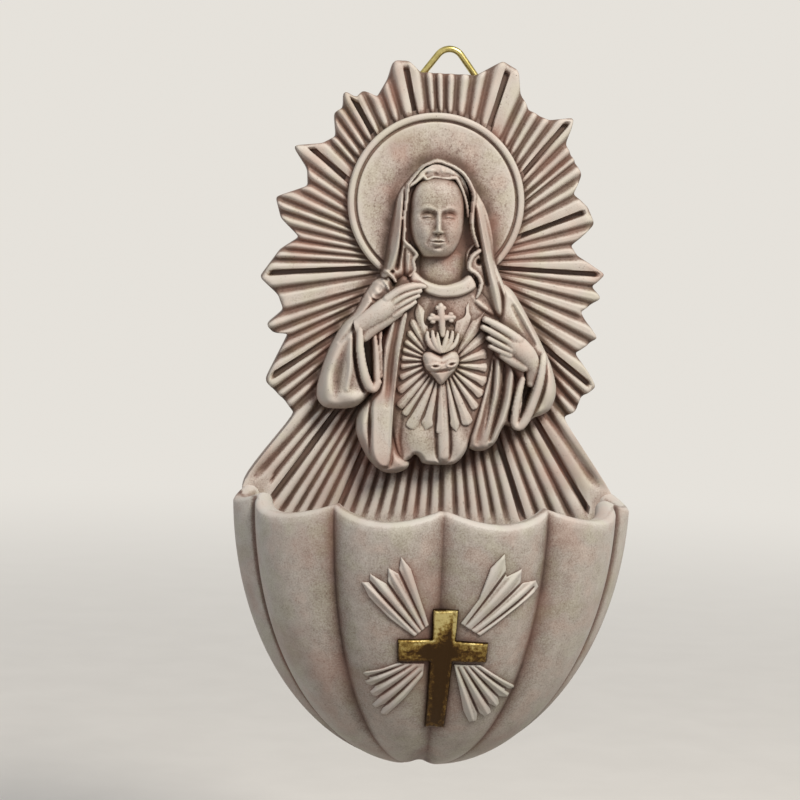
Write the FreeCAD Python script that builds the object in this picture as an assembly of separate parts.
"""Holy water stoup: a fluted sunburst wall plate with a veiled half figure in relief,
a lobed shell bowl below it, and a wire hanger hinged into a pocket in the back.

Frame: origin on the wall plane behind the middle of the sunburst. +Z is up, the front
faces -Y and +X is to the viewer's right. A depth is a distance out from the wall.
"Right" and "left" in the names of the figure's pieces are the figure's own.
"""
import FreeCAD
import Part
import math
import os

Vec = FreeCAD.Vector

# ---------------------------------------------------------------- driving dimensions
# Sunburst plate
plate_depth = 7.0           # wall to the crests of the flutes
burst_x = 1.5               # the flutes meet at this x, at z = 0
flute_count = 60
flute_share = 0.60          # width of a groove as a share of the pitch
flute_slope = 0.042         # depth of a groove for each mm of its reach
flute_reach = 58.0          # length of the longest groove, past the edge of the plate
plate_lap = 2.0             # how far the plate runs down into the back of the bowl

# Halo
halo_x = -1.2
halo_z = 14.5
halo_radius = 20.6
halo_thickness = 2.0
halo_rim = 1.4              # width of the raised rim
halo_groove = 0.7           # width and depth of the ring groove inside the rim

# Shell bowl
rim_z = -53.0               # height of the points of the rim
bowl_height = 65.4
bowl_half_width = 44.3      # at the plate, at the rim
bowl_reach = 36.0           # plate to the front crease, at the rim
bowl_wall = 4.0
crease_angles = (-90.0, -68.0, -33.0, 0.0, 33.0, 68.0, 90.0)
lobe_swell = 0.095          # bulge of a lobe of 34 degrees, as a share of its radius
rim_dip = 3.0               # fall of the rim in the middle of a lobe
belly = 2.0                 # exponent of the bowl's profile: 2 is an ellipse
bowl_sections = 8

# Relief on the bowl
cross_relief = 1.2
cross_x = 0.6
cross_top_z = -74.5
cross_bottom_z = -104.5
cross_arm_z = -84.6
cross_span = 20.6
cross_bar = 5.0
fan_relief = 0.9
fan_root_x = 4.4            # from the middle of the cross
fan_upper_root = 3.6        # above the middle of the arms
fan_lower_root = 3.4        # below it

# Figure
figure_height = 8.0         # front of the torso above the crests of the flutes
head_x = -1.2
head_z = 10.4
head_half_width = 5.8
head_half_height = 8.0
head_front = 19.2           # depth of the face
hand_seat = 12.8            # depth of the flat bed under each hand
heart_x = 0.6
heart_z = -22.8
heart_width = 8.8
heart_relief = 2.6
ray_relief = 0.9

# Wire hanger
wire_diameter = 1.55
hanger_x = 1.3
hanger_top = 51.0           # height of the outside of its rounded apex
hanger_half_angle = 37.0    # between a leg and the vertical
apex_radius = 3.4           # to the middle of the wire
foot_radius = 1.6
hinge_z = 38.5
hinge_clearance = 0.05      # radial, of the wire in its strap
strap_sheet = 0.4
strap_width = 8.0
strap_length = 9.0          # below the hinge
nail_shank = 1.2
nail_head = 2.6
nail_head_height = 0.5
nail_length = 2.4           # in the plate
pocket_margin = 1.2         # of the pocket round the wire
pocket_below = 10.5         # pocket's lower edge, below the hinge

# ---------------------------------------------------------------- shared sizes
halo_front = plate_depth + halo_thickness
wire_radius = wire_diameter / 2
strap_hole = wire_radius + hinge_clearance
strap_outer = strap_hole + strap_sheet
hinge_depth = strap_outer + 0.2          # the strap stays 0.2 inside the wall plane
pocket_depth = hinge_depth + strap_outer
nail_drops = (4.2, 7.2)                  # of the nails, below the hinge
clear_of_figure = plate_depth + 4 * figure_height     # a depth in front of every fold


# ---------------------------------------------------------------- helpers
def corner_arc(before, corner, after, radius):
    """Start, middle and end of the arc that rounds one corner of an outline."""
    to_before = (before - corner).normalize()
    to_after = (after - corner).normalize()
    half = to_before.getAngle(to_after) / 2
    bisector = (to_before + to_after).normalize()
    reach = radius / math.tan(half)
    centre = corner + bisector * (radius / math.sin(half))
    return corner + to_before * reach, centre - bisector * radius, corner + to_after * reach


def outline(points, depth):
    """Closed face at one depth through (x, z) or (x, z, corner radius) points."""
    corners = [Vec(point[0], -depth, point[1]) for point in points]
    edges = []
    ends = []
    for index, point in enumerate(points):
        corner = corners[index]
        if len(point) < 3:
            ends.append((corner, corner))
            continue
        after = corners[(index + 1) % len(points)]
        start, middle, end = corner_arc(corners[index - 1], corner, after, point[2])
        ends.append((start, end))
        edges.append(Part.Arc(start, middle, end).toShape())
    for index, (start, _) in enumerate(ends):
        edges.append(Part.makeLine(ends[index - 1][1], start))
    return Part.Face(Part.Wire(Part.__sortEdges__(edges)))


def prism(points, back, front):
    """Straight-sided solid between two depths."""
    return outline(points, back).extrude(Vec(0, back - front, 0))


def soft_region(points):
    """Flat face on the crests of the flutes, inside one smooth closed curve."""
    curve = Part.BSplineCurve()
    curve.interpolate([Vec(x, -plate_depth, z) for x, z in points], PeriodicFlag=True)
    return Part.Face(Part.Wire(curve.toShape()))


def raised(region, rise):
    """Straight-sided solid on a flat region."""
    return region.extrude(Vec(0, -rise, 0))


def ellipsoid(x, depth, z, half_width, half_depth, half_height):
    scale = FreeCAD.Matrix()
    scale.scale(half_width, half_depth, half_height)
    body = Part.makeSphere(1.0).transformGeometry(scale)
    body.translate(Vec(x, -depth, z))
    return body


def taper(foot, tip, foot_radius, tip_radius):
    """Round bar between two points, tapered or plain."""
    along = tip - foot
    if abs(foot_radius - tip_radius) < 1e-6:
        return Part.makeCylinder(foot_radius, along.Length, foot, along)
    return Part.makeCone(foot_radius, tip_radius, along.Length, foot, along)


def rod(start, end, start_radius, end_radius):
    """Round-ended bar between two (x, depth, z) points."""
    foot = Vec(start[0], -start[1], start[2])
    tip = Vec(end[0], -end[1], end[2])
    bar = taper(foot, tip, start_radius, end_radius)
    foot_ball = Part.makeSphere(start_radius, foot)
    tip_ball = Part.makeSphere(end_radius, tip)
    return bar.fuse([foot_ball, tip_ball]).removeSplitter()


def largest(shape):
    """The biggest solid of a shape, without the chips that a cut leaves."""
    return max(shape.Solids, key=lambda solid: solid.Volume)


def polar(x, z, angle, reach):
    """(x, z) at an angle from straight up, clockwise to the viewer."""
    turn = math.radians(angle)
    return x + reach * math.sin(turn), z + reach * math.cos(turn)


class Crown:
    """A cushion-shaped front: half an ellipsoid that stands on the plate."""

    def __init__(self, x, z, half_width, half_height, rise):
        self.x, self.z = x, z
        self.half_width, self.half_height = half_width, half_height
        self.rise = rise

    def solid(self, lift=0.0):
        return ellipsoid(self.x, plate_depth, self.z, self.half_width + lift,
                         self.rise + lift, self.half_height + lift)

    def depth(self, x, z):
        """Depth of the crown's front at (x, z)."""
        across = (x - self.x) / self.half_width
        down = (z - self.z) / self.half_height
        return plate_depth + self.rise * math.sqrt(max(0.0, 1 - across**2 - down**2))

    def fold(self, start, end, start_radius, end_radius):
        """A raised fold of cloth that lies half sunk in the crown."""
        foot = Vec(start[0], -self.depth(*start) + start_radius * 0.45, start[1])
        tip = Vec(end[0], -self.depth(*end) + end_radius * 0.45, end[1])
        return taper(foot, tip, start_radius, end_radius)


def draped(region, crown, folds, cutters):
    """A piece of clothing over a flat region: a crown with its folds, trimmed to fit."""
    block = raised(region, crown.rise + 4).cut(cutters)
    ridges = [crown.fold(*line) for line in folds]
    return largest(crown.solid().fuse(ridges).common(block))


# ---------------------------------------------------------------- bowl form
def bowl_form(half_width, reach, height, swell, top_z):
    """Solid lobed half bowl. It runs on behind the wall plane, to be trimmed."""
    sections = []
    for step in range(bowl_sections + 1):
        turn = math.radians(86.5) * step / bowl_sections
        scale = math.cos(turn) ** (2 / belly)
        z = top_z - height * math.sin(turn) ** (2 / belly)

        def plan(angle, bulge=0.0, scale=scale, z=z):
            turned = math.radians(angle)
            grow = scale * (1 + bulge)
            return Vec(half_width * grow * math.sin(turned),
                       -plate_depth - reach * grow * math.cos(turned), z)

        edges = []
        for first, second in zip(crease_angles, crease_angles[1:]):
            bulge = swell * (second - first) / 34.0
            middle = plan((first + second) / 2, bulge)
            edges.append(Part.Arc(plan(first), middle, plan(second)).toShape())
        right, left = plan(90), plan(-90)
        back_right, back_left = Vec(right.x, 2, z), Vec(left.x, 2, z)
        edges.append(Part.makeLine(right, back_right))
        edges.append(Part.makeLine(back_right, back_left))
        edges.append(Part.makeLine(back_left, left))
        sections.append(Part.Wire(edges))
    return Part.makeLoft(sections, True, False)


def slab(near, far):
    """Everything between two depths."""
    return Part.makeBox(200, far - near, 300, Vec(-100, -far, -200))


outer_form = bowl_form(bowl_half_width, bowl_reach, bowl_height, lobe_swell, rim_z)
inner_form = bowl_form(bowl_half_width - bowl_wall, bowl_reach - bowl_wall,
                       bowl_height - bowl_wall, lobe_swell * 0.6, rim_z)


def rim_cutters():
    """One round bar for each lobe: it meets the rim at the creases and dips between."""
    cutters = []
    for first, second in zip(crease_angles, crease_angles[1:]):
        ends = [Vec(bowl_half_width * math.sin(math.radians(angle)),
                    -plate_depth - bowl_reach * math.cos(math.radians(angle)), rim_z)
                for angle in (first, second)]
        chord = ends[1] - ends[0]
        half = chord.Length / 2
        dip = rim_dip * min(1.0, half / 11)
        radius = (half**2 + dip**2) / (2 * dip)
        outward = Vec(chord.y, -chord.x, 0).normalize()
        middle = (ends[0] + ends[1]) / 2 + Vec(0, 0, radius - dip)
        inner_end = middle - outward * (bowl_wall + 3)
        cutters.append(Part.makeCylinder(radius, bowl_wall + 12, inner_end, outward))
    return cutters


def make_bowl():
    body = outer_form.cut(inner_form).common(slab(plate_depth, plate_depth + 80))
    return largest(body.cut(rim_cutters()))


# ---------------------------------------------------------------- plate
burst_left = (              # down the left edge from the hanger: x, z, corner radius
    (-5.8, 44.4), (-8.4, 46.9, 0.8), (-12.0, 46.9, 1.2), (-13.0, 42.9, 0.8), (-15.5, 38.3),
    (-18.9, 39.8, 0.6), (-20.5, 37.9), (-23.4, 39.7, 0.8), (-23.3, 35.7), (-25.4, 34.4, 0.5),
    (-24.8, 29.0), (-28.0, 27.2, 2.0), (-34.8, 26.4, 1.4), (-31.2, 21.2, 1.0), (-31.0, 17.2),
    (-38.4, 14.4, 1.8), (-37.0, 9.4, 1.5), (-32.6, 5.2), (-37.0, 2.2, 2.0), (-41.6, -4.4, 1.2),
    (-37.2, -8.4, 0.6), (-35.8, -12.0), (-39.8, -15.4, 1.2), (-38.0, -17.4, 0.4),
    (-34.4, -17.3), (-36.8, -22.4, 3.0), (-39.7, -28.6, 1.4), (-34.6, -33.4, 1.0),
    (-31.7, -37.4), (-36.0, -41.4, 4.0), (1.3 - bowl_half_width, rim_z + 3.6, 4.0))
burst_right = (             # up the right edge from the bowl to the hanger
    (bowl_half_width - 1.9, rim_z + 1.6, 4.0), (36.2, -45.8, 4.0), (31.4, -38.6, 1.0),
    (30.6, -35.8), (34.4, -33.2, 0.5),
    (34.6, -30.8, 0.5), (38.6, -27.8, 1.2), (36.4, -24.2, 2.0), (33.2, -20.0), (38.4, -16.2, 1.2),
    (34.0, -10.2), (38.8, -6.8, 1.0), (36.6, -4.1), (39.6, -1.2, 1.0), (32.6, 3.2, 1.0),
    (31.2, 5.2), (36.6, 10.4, 1.4), (34.8, 14.4, 1.5), (31.2, 17.6), (33.2, 21.8, 2.0),
    (29.0, 28.8), (30.8, 35.2, 1.2), (24.6, 34.4, 1.5), (20.0, 36.6), (17.7, 40.8, 1.0),
    (17.2, 45.6, 1.4), (13.4, 47.7, 1.2), (7.4, 44.2))


def flute_grooves():
    """V grooves that grow wider and deeper away from the middle of the sunburst."""
    grooves = []
    half_pitch = 180.0 / flute_count
    cavity_half = bowl_half_width - bowl_wall - 3
    for number in range(flute_count):
        angle = (number + 0.5) * 2 * half_pitch
        reach = flute_reach
        down = -math.cos(math.radians(angle))
        if down > 0:
            reach_rim = (-rim_z - 0.6) / down
            x_at_rim = burst_x + reach_rim * math.sin(math.radians(angle))
            inside = abs(x_at_rim) < cavity_half
            reach = min(reach, reach_rim + (10.0 if inside else 0.0))
        fall = flute_slope * reach
        spread = half_pitch * flute_share
        root = Vec(burst_x, -plate_depth, 0)
        floor_x, floor_z = polar(burst_x, 0, angle, reach)
        floor = Vec(floor_x, -plate_depth + fall, floor_z)
        lips = []
        for side in (-1, 1):
            lip_x, lip_z = polar(burst_x, 0, angle + side * spread, reach)
            lips.append(floor + (Vec(lip_x, -plate_depth, lip_z) - floor) * 1.5)
        grooves.append(tetrahedron(root, floor, lips[0], lips[1]))
    return grooves


def tetrahedron(*corners):
    faces = []
    for skipped in range(4):
        three = [corner for index, corner in enumerate(corners) if index != skipped]
        faces.append(Part.Face(Part.makePolygon(three + three[:1])))
    solid = Part.makeSolid(Part.makeShell(faces))
    if solid.Volume < 0:
        solid.reverse()
    return solid


def hanger_leg_half(z):
    """Half the spread of the wire's two legs at a height, to the middle of the wire."""
    slope = math.tan(math.radians(hanger_half_angle))
    lift = apex_radius / math.sin(math.radians(hanger_half_angle)) - apex_radius
    return (hanger_top - wire_radius + lift - z) * slope


def hanger_pocket():
    side = wire_radius / math.cos(math.radians(hanger_half_angle)) + pocket_margin
    low = hinge_z - pocket_below
    top = 52.0
    foot = hanger_leg_half(hinge_z - wire_radius) + side
    neck = hanger_leg_half(top) + side
    points = [(hanger_x - foot, low), (hanger_x + foot, low), (hanger_x + foot, hinge_z),
              (hanger_x + neck, top), (hanger_x - neck, top), (hanger_x - foot, hinge_z)]
    return prism(points, -1, pocket_depth)


def nail_cylinders():
    """Shank and head of each strap nail."""
    shanks = []
    heads = []
    strap_back = pocket_depth - 2 * strap_sheet
    for drop in nail_drops:
        z = hinge_z - drop
        shank_length = 2 * strap_sheet + nail_length
        shanks.append(Part.makeCylinder(nail_shank / 2, shank_length,
                                        Vec(hanger_x, -strap_back, z), Vec(0, -1, 0)))
        heads.append(Part.makeCylinder(nail_head / 2, nail_head_height,
                                       Vec(hanger_x, -strap_back + nail_head_height, z),
                                       Vec(0, -1, 0)))
    return shanks, heads


def make_back_plate():
    seat_half = bowl_half_width - plate_lap
    seat_z = rim_z - plate_lap
    corners = ((-bowl_half_width, rim_z), (-seat_half, seat_z), (seat_half, seat_z),
               (bowl_half_width, rim_z))
    upper = prism(burst_left + corners + burst_right, 0, plate_depth)
    lower = outer_form.common(slab(0, plate_depth))
    plate = upper.fuse(lower).removeSplitter()
    plate = plate.cut(flute_grooves())
    shanks, _ = nail_cylinders()
    return largest(plate.cut([hanger_pocket()] + shanks))


# ---------------------------------------------------------------- halo
def make_halo():
    half = [(0, 0), (halo_radius, 0), (halo_radius, halo_thickness - 0.5),
            (halo_radius - 0.5, halo_thickness),
            (halo_radius - halo_rim, halo_thickness),
            (halo_radius - halo_rim - halo_groove / 2, halo_thickness - halo_groove),
            (halo_radius - halo_rim - halo_groove, halo_thickness - 0.3),
            (0, halo_thickness - 0.3)]
    points = [Vec(halo_x + radius, -plate_depth - depth, halo_z) for radius, depth in half]
    section = Part.Face(Part.makePolygon(points + points[:1]))
    return section.revolve(Vec(halo_x, 0, halo_z), Vec(0, 1, 0), 360)


# ---------------------------------------------------------------- figure
torso_crown = Crown(1.0, -24.0, 17.5, 36.0, figure_height)
right_arm_crown = Crown(-19.5, -20.0, 12.5, 23.0, figure_height + 0.6)
left_arm_crown = Crown(20.5, -21.0, 11.0, 24.0, figure_height + 0.6)
right_fall_crown = Crown(-13.0, -31.0, 8.5, 26.0, figure_height + 0.2)
left_fall_crown = Crown(14.0, -31.0, 9.0, 24.0, figure_height + 0.2)
veil_crown = Crown(-0.4, 6.0, 17.0, 23.0, figure_height + 1.0)
hair_crown = Crown(-0.4, 8.0, 11.0, 17.0, figure_height)

tunic_outline = (
    (-9.5, -1.0), (-4.0, 0.5), (5.0, 0.0), (10.5, -5.0), (15.0, -10.5), (15.0, -16.0),
    (13.2, -24.0), (11.0, -33.0), (9.2, -40.0), (6.6, -43.0), (4.6, -46.2), (-0.7, -46.9),
    (-2.6, -46.4), (-4.6, -45.2), (-8.0, -45.4), (-11.0, -38.0), (-11.2, -28.0), (-11.6, -18.0),
    (-12.6, -9.0))
tunic_folds = (
    ((-2.0, -27.0), (-3.4, -48.0), 0.7, 1.3), ((1.2, -28.0), (2.0, -48.0), 1.0, 1.5),
    ((4.6, -27.0), (6.6, -46.0), 0.7, 1.2), ((-6.0, -26.0), (-7.6, -47.0), 0.8, 1.2),
    ((8.6, -24.0), (8.8, -43.0), 0.7, 1.1))
right_sleeve_outline = (
    (-13.2, -2.8), (-15.3, -4.5), (-17.4, -7.6), (-19.6, -11.7), (-22.2, -15.0), (-24.6, -19.0),
    (-26.4, -23.6), (-27.7, -29.4), (-26.6, -33.2), (-22.6, -34.4), (-17.6, -33.4), (-14.2, -30.4),
    (-12.7, -27.2), (-13.2, -22.0), (-13.0, -17.0), (-10.6, -12.0), (-9.9, -7.0), (-11.2, -3.0))
right_sleeve_folds = (
    ((-14.6, -2.0), (-24.4, -35.0), 1.3, 2.2), ((-12.0, -5.0), (-16.4, -32.0), 0.9, 1.5),
    ((-17.0, -17.0), (-20.0, -35.0), 0.7, 1.3), ((-10.0, -13.0), (-28.0, -30.0), 0.8, 1.0))
left_sleeve_outline = (
    (14.9, -3.6), (17.4, -5.7), (19.6, -8.8), (22.5, -13.7), (24.8, -17.8), (26.9, -22.0),
    (28.4, -27.0), (28.2, -31.2), (26.6, -33.7), (23.4, -35.7), (20.8, -38.2), (19.2, -36.6),
    (18.5, -32.0), (18.6, -26.6), (15.8, -23.4), (12.6, -20.4), (13.2, -13.6), (14.2, -8.0))
left_sleeve_folds = (
    ((16.0, -3.0), (26.0, -36.0), 1.2, 1.9), ((13.0, -12.0), (28.0, -24.0), 0.8, 0.9),
    ((18.0, -25.0), (20.6, -39.0), 0.7, 1.2), ((21.6, -21.0), (24.0, -37.0), 0.7, 1.1))
right_fall_outline = (
    (-12.6, -15.0), (-14.6, -22.0), (-15.2, -29.0), (-18.1, -34.4), (-18.2, -39.5), (-16.6, -43.6),
    (-14.5, -46.8), (-11.9, -48.7), (-9.2, -49.2), (-6.4, -48.3), (-6.6, -44.6), (-8.9, -38.0),
    (-9.1, -30.0), (-8.8, -22.5), (-8.0, -16.5), (-8.6, -12.6))
right_fall_folds = (
    ((-9.8, -11.0), (-10.6, -50.0), 0.8, 1.5), ((-13.0, -15.0), (-14.0, -49.0), 0.7, 1.4),
    ((-16.4, -30.0), (-16.8, -46.0), 0.7, 1.3))
left_fall_outline = (
    (12.2, -19.6), (11.2, -26.0), (9.9, -33.0), (8.4, -39.8), (9.4, -42.4), (11.4, -43.7),
    (14.4, -42.6), (16.0, -39.0), (16.9, -37.2), (19.5, -37.6), (20.2, -32.0), (20.0, -26.0),
    (17.0, -21.6))
left_fall_folds = (
    ((13.6, -19.0), (10.4, -45.0), 0.8, 1.3), ((16.2, -20.0), (13.6, -44.0), 0.7, 1.3),
    ((18.4, -24.0), (17.6, -40.0), 0.6, 1.1))
veil_outline = (
    (-13.4, -3.4), (-12.9, 0.3), (-12.3, 5.5), (-11.6, 10.1), (-10.4, 15.0), (-8.2, 18.9),
    (-5.2, 22.1), (-1.3, 24.0), (3.0, 22.4), (7.2, 17.8), (10.4, 12.8), (12.1, 7.0), (13.0, 0.7),
    (14.8, -3.8), (15.2, -8.4), (14.1, -11.8), (11.2, -10.4), (8.8, -7.4), (0.0, -4.0),
    (-7.0, -3.4), (-10.4, -4.0))
veil_folds = (
    ((-9.4, 17.6), (-12.0, -4.0), 1.0, 1.5), ((6.0, 19.4), (13.8, -12.0), 1.0, 1.6),
    ((5.6, 15.6), (9.6, -4.0), 0.7, 1.0), ((-6.6, 20.6), (5.4, 20.6), 1.0, 1.0))
hair_outline = (
    (-6.6, -3.2), (-6.4, -0.8), (-6.7, 1.2), (-6.6, 3.0), (-8.2, 5.2), (-8.9, 9.0), (-8.8, 13.0),
    (-7.6, 17.6), (-4.8, 20.6), (-1.3, 21.6), (2.4, 20.2), (4.9, 16.0), (6.6, 11.6), (7.3, 7.6),
    (8.3, 4.6), (6.9, 1.6), (7.6, -1.4), (9.0, -4.0), (8.2, -7.0), (2.0, -5.0))
collar_outline = (
    (-5.8, -1.2), (-2.6, -3.5), (0.3, -4.5), (2.9, -4.1), (6.0, -2.6), (7.6, -5.0), (5.6, -7.4),
    (2.7, -8.0), (-1.1, -8.0), (-4.2, -7.2), (-6.8, -4.2))


def make_head():
    """Plain oval head on its neck, with a simple brow, nose and chin."""
    middle_depth = head_front - 6.2
    head = ellipsoid(head_x, middle_depth, head_z, head_half_width, 6.2, head_half_height)
    neck = Part.makeCylinder(4.3, 12, Vec(head_x + 0.6, -middle_depth + 1.6, head_z - 16))
    nose_foot = (head_x, head_front - 0.5, head_z - 1.8)
    nose_top = (head_x, head_front - 0.7, head_z + 1.6)
    nose = rod(nose_top, nose_foot, 0.5, 0.85)
    chin = ellipsoid(head_x, head_front - 2.4, head_z - 6.2, 1.7, 1.5, 1.3)
    head = head.fuse([neck, nose, chin]).removeSplitter()
    behind = slab(-50, halo_front)
    below = prism(((-20, head_z - 40), (20, head_z - 40), (20, -2.5), (-20, -2.5)), 0, 60)
    return largest(head.cut([behind, below]))


def hand(palm, wrist, fingers, thumb):
    """Palm, wrist and tapered fingers, cut flat behind to lie in the clothing."""
    middle = hand_seat + 0.7
    body = rod((palm[0], middle + 0.3, palm[1]), (wrist[0], middle - 0.1, wrist[1]), 2.3, 1.9)
    for knuckle, tip in list(fingers) + [thumb]:
        start = (knuckle[0], middle + 0.4, knuckle[1])
        end = (tip[0], middle, tip[1])
        body = body.fuse(rod(start, end, 1.05, 0.7))
    return largest(body.cut(slab(0, hand_seat)))


right_hand_recess = ((-20.6, -14.6), (-14.4, -8.0), (-13.6, -5.6), (-8.0, -3.6), (-3.0, -3.8),
                     (-2.8, -6.0), (-5.0, -10.6), (-10.0, -13.0), (-16.6, -18.6))
left_hand_recess = ((26.8, -22.2), (19.6, -14.6), (15.0, -13.6), (10.2, -11.0), (8.6, -14.2),
                    (10.4, -19.6), (14.0, -21.8), (19.0, -21.8), (23.0, -26.0))


def make_hands():
    right = hand((-12.4, -9.6), (-16.4, -13.8),
                 (((-10.4, -7.0), (-4.2, -5.2)), ((-9.8, -8.3), (-4.8, -6.6)),
                  ((-9.4, -9.6), (-5.4, -8.0)), ((-9.4, -10.9), (-6.2, -9.4))),
                 ((-12.6, -7.6), (-9.0, -5.4)))
    left = hand((17.8, -17.6), (22.2, -21.4),
                (((16.0, -15.6), (10.6, -12.4)), ((15.4, -16.8), (10.0, -14.3)),
                 ((14.8, -18.0), (10.9, -16.4)), ((14.8, -19.2), (11.7, -18.2))),
                ((18.0, -19.4), (14.4, -20.6)))
    return right, left


def heart_outline(x, z, width):
    """Two round lobes over a point."""
    lobe = width / 4
    return [(x - 2 * lobe, z + 0.25 * lobe, lobe * 0.95), (x - 2 * lobe, z + 1.9 * lobe, lobe * 0.95),
            (x - 0.25 * lobe, z + 1.9 * lobe, lobe * 0.7), (x, z + 1.3 * lobe),
            (x + 0.25 * lobe, z + 1.9 * lobe, lobe * 0.7), (x + 2 * lobe, z + 1.9 * lobe, lobe * 0.95),
            (x + 2 * lobe, z + 0.25 * lobe, lobe * 0.95), (x, z - 2.1 * lobe, 0.4)]


def kite(x, z, angle, reach, half_width):
    """One ray in outline: narrow root, widest near the end, pointed tip."""
    root_left = polar(x, z, angle - 90, half_width * 0.5)
    root_right = polar(x, z, angle + 90, half_width * 0.5)
    shoulder = polar(x, z, angle, reach * 0.8)
    left = polar(shoulder[0], shoulder[1], angle - 90, half_width)
    right = polar(shoulder[0], shoulder[1], angle + 90, half_width)
    return [root_left, left, polar(x, z, angle, reach), right, root_right]


def small_cross_outline(x, foot_z):
    """Equal-armed bars; the lower limb stands on the flames."""
    bar, arm = 0.85, 2.7
    low, high, top = foot_z + 2.3, foot_z + 4.0, foot_z + 5.8
    return [(x - bar, foot_z), (x - bar, low), (x - arm, low), (x - arm, high), (x - bar, high),
            (x - bar, top), (x + bar, top), (x + bar, high), (x + arm, high), (x + arm, low),
            (x + bar, low), (x + bar, foot_z)]


def flame_outline(x, z):
    """Tongues that spread up and out from the cleft of the heart."""
    return [(x - 1.4, z), (x - 3.3, z + 4.6), (x - 1.7, z + 3.2), (x - 0.9, z + 5.0),
            (x, z + 3.4), (x + 0.9, z + 5.0), (x + 2.0, z + 3.4), (x + 3.6, z + 4.8),
            (x + 1.6, z)]


def make_heart_group(recesses):
    """Heart, the rays behind it, the flames over it and the cross in the flames."""
    torso = torso_crown.solid()
    front = torso_crown.depth(heart_x, heart_z)
    flame_z = heart_z + heart_width * 0.34
    cross_z = flame_z + 4.4
    heart_block = prism(heart_outline(heart_x, heart_z, heart_width), plate_depth, front + 8)
    flame_block = prism(flame_outline(heart_x, flame_z), plate_depth, front + 8).cut(heart_block)
    cross_block = prism(small_cross_outline(heart_x - 0.2, cross_z), plate_depth, front + 8)
    cross_block = cross_block.cut(flame_block)

    bulge = ellipsoid(heart_x, front - 2.0, heart_z, heart_width * 0.72,
                      heart_relief + 2.0, heart_width * 0.72)
    heart = largest(heart_block.common(bulge).cut(torso))
    flames = largest(flame_block.common(torso_crown.solid(1.5)).cut(torso))
    cross = largest(cross_block.common(torso_crown.solid(1.8)).cut(torso))

    hub = Part.makeCylinder(3.6, clear_of_figure, Vec(heart_x, -plate_depth, heart_z), Vec(0, -1, 0))
    spokes = []
    for number in range(18):
        angle = 70 + number * 220 / 17
        reach = 13.5 if number % 2 else 16.0
        if angle < 95 or angle > 265:
            reach -= 3.5
        points = kite(heart_x, heart_z, angle, reach, 0.85)
        spokes.append(prism(points, plate_depth, clear_of_figure))
    others = [raised(soft_region(points), clear_of_figure)
              for points in (right_fall_outline, left_fall_outline)]
    star = hub.fuse(spokes).cut([heart_block, flame_block, cross_block] + others + recesses)
    folds = [torso_crown.fold(*line) for line in tunic_folds]
    rays = largest(star.common(torso_crown.solid(ray_relief)).cut([torso] + folds))
    return heart, flames, cross, rays


def make_figure():
    halo = make_halo()
    head = make_head()
    hair_region = soft_region(hair_outline)
    hair = largest(raised(hair_region, clear_of_figure).common(hair_crown.solid()).cut([halo, head]))

    hood = [hair_region]
    veil_region = soft_region(veil_outline).cut(hood)
    hood.append(soft_region(veil_outline))
    right_sleeve_region = soft_region(right_sleeve_outline)
    left_sleeve_region = soft_region(left_sleeve_outline)
    right_fall_region = soft_region(right_fall_outline)
    left_fall_region = soft_region(left_fall_outline)
    arms = [right_sleeve_region, left_sleeve_region]
    falls = [right_fall_region, left_fall_region]
    tunic_region = soft_region(tunic_outline).cut(hood + arms + falls)

    right_recess = prism(right_hand_recess, hand_seat, clear_of_figure)
    left_recess = prism(left_hand_recess, hand_seat, clear_of_figure)
    veil = draped(veil_region, veil_crown, veil_folds, [halo, right_recess, left_recess])
    right_sleeve = draped(right_sleeve_region.cut(hood), right_arm_crown, right_sleeve_folds,
                          [halo, right_recess])
    left_sleeve = draped(left_sleeve_region.cut(hood), left_arm_crown, left_sleeve_folds,
                         [halo, left_recess])
    right_fall = draped(right_fall_region.cut(hood + arms), right_fall_crown,
                        right_fall_folds, [halo, right_recess])
    left_fall = draped(left_fall_region.cut(hood + arms), left_fall_crown,
                       left_fall_folds, [halo, left_recess])
    tunic = draped(tunic_region, torso_crown, tunic_folds, [halo, right_recess, left_recess])

    collar_block = raised(soft_region(collar_outline).cut(hood), clear_of_figure)
    collar_block = collar_block.cut(right_recess)
    collar = largest(collar_block.common(torso_crown.solid(2.2)).cut(torso_crown.solid()))
    right_hand, left_hand = make_hands()
    heart, flames, cross, rays = make_heart_group([right_recess, left_recess])
    return {"halo": halo, "head": head, "hair": hair, "veil": veil, "collar": collar,
            "right_sleeve": right_sleeve, "left_sleeve": left_sleeve,
            "mantle_right_fall": right_fall, "mantle_left_fall": left_fall,
            "tunic": tunic, "right_hand": right_hand, "left_hand": left_hand,
            "heart": heart, "heart_flames": flames, "heart_cross": cross,
            "heart_rays": rays}


# ---------------------------------------------------------------- relief on the bowl
def make_bowl_cross():
    """Cross over the front crease. Its upright bridges the crease with a plain front."""
    half = cross_bar / 2
    span = cross_span / 2
    left, right = cross_x - half, cross_x + half
    upright = [(left, cross_bottom_z, 0.5), (left, cross_top_z, 0.5),
               (right, cross_top_z, 0.5), (right, cross_bottom_z, 0.5)]
    left, right = cross_x - span, cross_x + span
    arms = [(left, cross_arm_z - half, 0.5), (left, cross_arm_z + half, 0.5),
            (right, cross_arm_z + half, 0.5), (right, cross_arm_z - half, 0.5)]
    far = plate_depth + bowl_reach + 20
    lifted = bowl_form(bowl_half_width + cross_relief, bowl_reach + cross_relief,
                       bowl_height + cross_relief, lobe_swell, rim_z)
    smooth = bowl_form(bowl_half_width + cross_relief, bowl_reach + 2 * cross_relief,
                       bowl_height + cross_relief, 0.008, rim_z)
    bar = prism(upright, plate_depth + 2, far)
    body = bar.common(smooth).fuse(bar.fuse(prism(arms, plate_depth + 2, far)).common(lifted))
    return largest(body.cut(outer_form))


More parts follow.
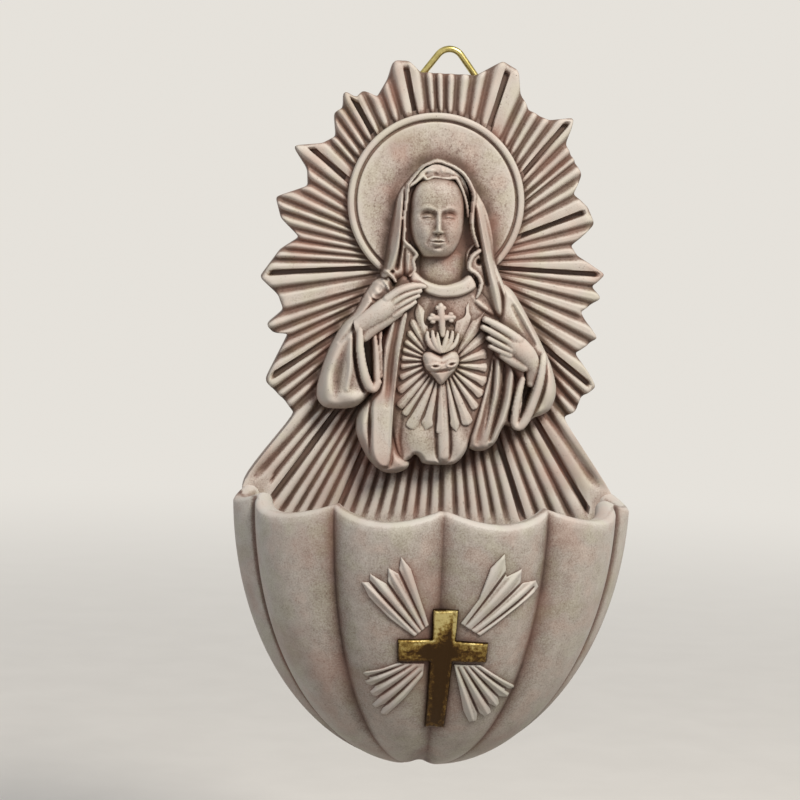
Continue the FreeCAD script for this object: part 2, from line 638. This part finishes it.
upper_root_z = cross_arm_z + fan_upper_root
lower_root_z = cross_arm_z - fan_lower_root
ray_fans = (                # side, height of the root, angle from straight up and reach of each ray
    (-1, upper_root_z, ((16, 18.0), (28, 16.2), (38, 17.8), (48, 18.6))),
    (1, upper_root_z, ((17, 15.6), (28, 20.0), (40, 20.0), (52, 20.4))),
    (-1, lower_root_z, ((106, 12.8), (117, 12.5), (127, 12.9), (138, 13.8), (149, 14.4))),
    (1, lower_root_z, ((109, 13.9), (124, 13.8), (143, 13.6), (161, 14.1))))


def make_bowl_fans(cross):
    """Four fans of rays about the cross, each one solid whose rays meet at the root."""
    lifted = bowl_form(bowl_half_width + fan_relief, bowl_reach + fan_relief,
                       bowl_height + fan_relief, lobe_swell, rim_z)
    far = plate_depth + bowl_reach + 20
    fans = []
    for side, root_z, rays in ray_fans:
        root_x = cross_x + side * fan_root_x
        leaves = []
        for angle, reach in rays:
            points = kite(root_x, root_z, side * angle, reach, 1.35)
            leaves.append(prism(points, plate_depth + 2, far))
        fan = leaves[0].fuse(leaves[1:]).common(lifted).cut([outer_form, cross])
        fans.append(largest(fan))
    return Part.makeCompound(fans)


# ---------------------------------------------------------------- wire hanger
def make_hanger_ring():
    """Wire triangle with a rounded apex; its foot turns in the strap."""
    half_turn = math.radians(hanger_half_angle)
    foot_half = hanger_leg_half(hinge_z)
    peak_z = hinge_z + foot_half / math.tan(half_turn)
    points = [(hanger_x, peak_z, apex_radius), (hanger_x + foot_half, hinge_z, foot_radius),
              (hanger_x - foot_half, hinge_z, foot_radius)]
    path = outline(points, hinge_depth).OuterWire
    start = Vec(hanger_x, -hinge_depth, hinge_z)
    section = Part.Wire(Part.makeCircle(wire_radius, start, Vec(1, 0, 0)))
    foot = [edge for edge in path.Edges if abs(edge.BoundBox.ZLength) < 1e-6][0]
    halves = []
    for side in (-1, 1):
        corner = max(foot.Vertexes, key=lambda vertex: side * vertex.Point.x).Point
        halves.append(Part.makeLine(start, corner))
    rest = [edge for edge in path.Edges if edge is not foot and not edge.isSame(foot)]
    route = Part.Wire(Part.__sortEdges__([halves[1]] + rest + [halves[0]]))
    return route.makePipeShell([section], True, False, 1)


def make_hanger_strap():
    """Sheet brass folded round the wire, both layers lying on the pocket's floor."""
    start_x = hanger_x - strap_width / 2
    floor = pocket_depth
    back = floor - 2 * strap_sheet
    low = hinge_z - strap_length
    join_z = hinge_z - 2.4

    def at(depth, z):
        return Vec(start_x, -depth, z)

    front_side = at(floor, hinge_z)
    top = at(hinge_depth, hinge_z + strap_outer)
    back_side = at(hinge_depth - strap_outer, hinge_z)
    edges = [Part.Arc(front_side, top, back_side).toShape(),
             Part.makeLine(back_side, at(back, join_z)), Part.makeLine(at(back, join_z), at(back, low)),
             Part.makeLine(at(back, low), at(floor, low)), Part.makeLine(at(floor, low), front_side)]
    folded = Part.Face(Part.Wire(edges)).extrude(Vec(strap_width, 0, 0))
    hole = Part.makeCylinder(strap_hole, strap_width, at(hinge_depth, hinge_z), Vec(1, 0, 0))
    shanks, _ = nail_cylinders()
    return largest(folded.cut([hole] + shanks))


def make_hanger_nails():
    shanks, heads = nail_cylinders()
    return Part.makeCompound([shank.fuse(head).removeSplitter().Solids[0]
                              for shank, head in zip(shanks, heads)])


# ---------------------------------------------------------------- build
def build():
    pieces = {"back_plate": make_back_plate(), "bowl": make_bowl()}
    pieces["bowl_cross"] = make_bowl_cross()
    pieces["bowl_ray_fans"] = make_bowl_fans(pieces["bowl_cross"])
    pieces.update(make_figure())
    pieces["hanger_ring"] = make_hanger_ring()
    pieces["hanger_strap"] = make_hanger_strap()
    pieces["hanger_nails"] = make_hanger_nails()
    return pieces


os.makedirs("parts", exist_ok=True)
for name, shape in build().items():
    shape.exportStep("parts/" + name + ".step")
    box = shape.BoundBox
    print(f"{name:18s} {len(shape.Solids)} solid  {shape.Volume:9.1f} mm3  "
          f"x {box.XMin:6.1f}..{box.XMax:5.1f}  y {box.YMin:6.1f}..{box.YMax:5.1f}  "
          f"z {box.ZMin:7.1f}..{box.ZMax:6.1f}  valid {shape.isValid()}")
